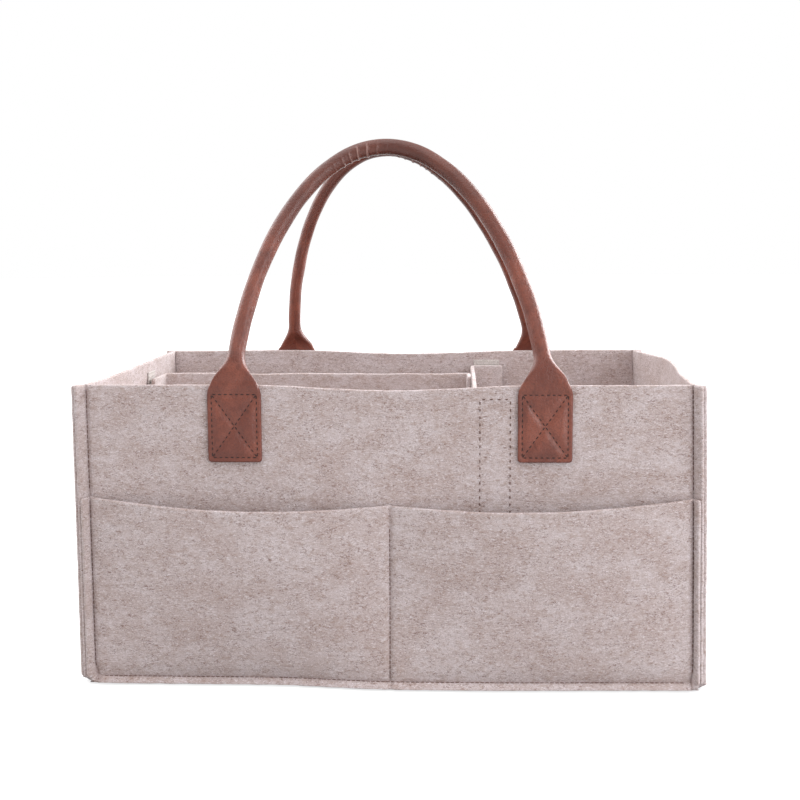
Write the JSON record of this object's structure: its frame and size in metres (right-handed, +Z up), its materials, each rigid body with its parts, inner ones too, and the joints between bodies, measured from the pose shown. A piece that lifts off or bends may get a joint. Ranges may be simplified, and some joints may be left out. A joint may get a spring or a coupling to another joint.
{
  "type": "diaper caddy",
  "caption": "Open felt box with outside pockets, leather tube handles on the long sides and a lift-out T-shaped divider.",
  "frame": {"origin": "centre of the underside, on the surface that the caddy stands on", "axes": "+X to the right along the long side, +Y to the back, +Z up; the pocketed front with the visible divider stitching faces -Y"},
  "size_m": [0.3964, 0.2804, 0.3419],
  "materials": {
    "felt": "matt melange wool-look felt",
    "divider_felt": "matt melange wool-look felt",
    "seam_thread": "matt sewing thread",
    "handle_thread": "waxed dark brown thread",
    "leather": "soft satin reddish brown leather",
    "core_rope": "undyed cotton rope",
    "loop_tape": "brushed loop pile",
    "hook_tape": "woven hook tape"
  },
  "bodies": {
    "caddy_body": {"base_panel": "felt", "front_panel": "felt", "right_panel": "felt", "back_panel": "felt", "left_panel": "felt", "front_pocket_panel": "felt", "right_pocket_panel": "felt", "back_pocket_panel": "felt", "left_pocket_panel": "felt", "front_pocket_thread": "seam_thread", "right_pocket_thread": "seam_thread", "back_pocket_thread": "seam_thread", "left_pocket_thread": "seam_thread", "front_base_thread": "seam_thread", "right_base_thread": "seam_thread", "back_base_thread": "seam_thread", "left_base_thread": "seam_thread", "front_left_corner_thread": "seam_thread", "front_right_corner_thread": "seam_thread", "back_left_corner_thread": "seam_thread", "back_right_corner_thread": "seam_thread", "front_strip_thread": "seam_thread", "back_strip_thread": "seam_thread", "left_strip_thread": "seam_thread", "front_handle_left_tab": "leather", "front_handle_right_tab": "leather", "back_handle_left_tab": "leather", "back_handle_right_tab": "leather", "front_handle_left_thread": "handle_thread", "front_handle_right_thread": "handle_thread", "back_handle_left_thread": "handle_thread", "back_handle_right_thread": "handle_thread", "front_loop_strip": "loop_tape", "back_loop_strip": "loop_tape", "left_loop_strip": "loop_tape"},
    "front_handle": {"front_handle_sleeve": "leather", "front_handle_core": "core_rope"},
    "back_handle": {"back_handle_sleeve": "leather", "back_handle_core": "core_rope"},
    "divider_insert": {"cross_divider": "divider_felt", "long_divider": "divider_felt", "front_hook_strip": "hook_tape", "back_hook_strip": "hook_tape", "left_hook_strip": "hook_tape"}
  },
  "joints": [
    {"name": "front_handle_swing", "type": "hinge", "parent": "caddy_body", "child": "front_handle", "pos_m": [0, -0.1275, 0.186], "axis": [1, 0, 0], "range_deg": [-26, 182]},
    {"name": "back_handle_swing", "type": "hinge", "parent": "caddy_body", "child": "back_handle", "pos_m": [0, 0.1275, 0.186], "axis": [-1, 0, 0], "range_deg": [-39, 169]},
    {"name": "divider_lift", "type": "slide", "parent": "caddy_body", "child": "divider_insert", "axis": [0, 0, 1], "range_m": [0, 0.06]}
  ]
}
